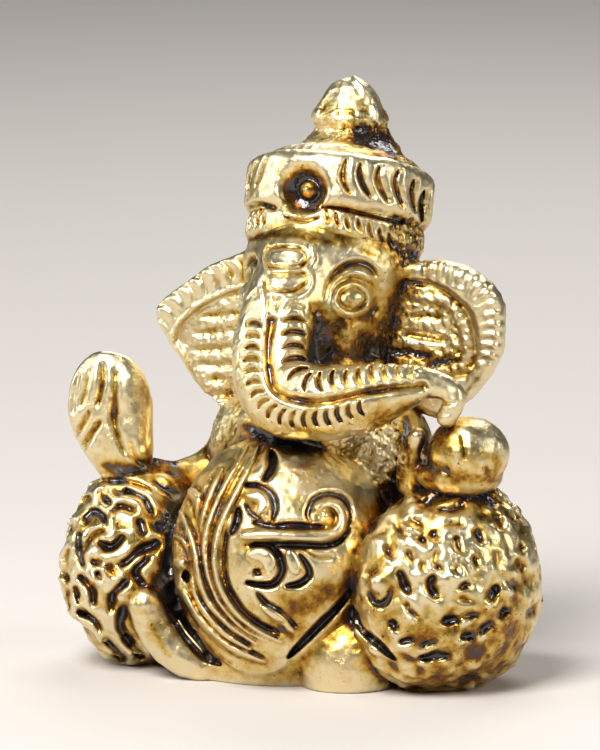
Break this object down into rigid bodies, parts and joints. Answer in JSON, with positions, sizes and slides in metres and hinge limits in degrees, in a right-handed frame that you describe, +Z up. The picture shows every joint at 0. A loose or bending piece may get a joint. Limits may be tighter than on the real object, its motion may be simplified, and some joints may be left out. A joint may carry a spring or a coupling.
{
  "type": "seated ganesha idol",
  "caption": "Small seated elephant-headed deity figure in antiqued cast brass, with a domed crown, raised palm and a sweet in the other hand; stands on its flat underside.",
  "frame": {"origin": "on the flat underside, below the middle of the figure", "axes": "+Z up, the figure faces -Y, and its left hand with the sweet is on +X"},
  "size_m": [0.0428, 0.0302, 0.05],
  "materials": {
    "brass": "polished high spots over a dark brown antique patina in the recesses"
  },
  "bodies": {
    "root": {"torso": "brass", "hips": "brass", "belly": "brass", "right_leg": "brass", "left_leg": "brass", "right_foot": "brass", "left_foot": "brass", "head": "brass", "trunk": "brass", "right_ear": "brass", "left_ear": "brass", "right_eye": "brass", "left_eye": "brass", "forehead_mark": "brass", "right_arm": "brass", "left_arm": "brass", "right_hand": "brass", "left_hand": "brass", "sweet_ball": "brass", "crown_lower_band": "brass", "crown_upper_band": "brass", "crown_jewel": "brass", "crown_dome": "brass", "crown_finial": "brass", "sash": "brass", "belly_scrolls": "brass"}
  },
  "joints": []
}
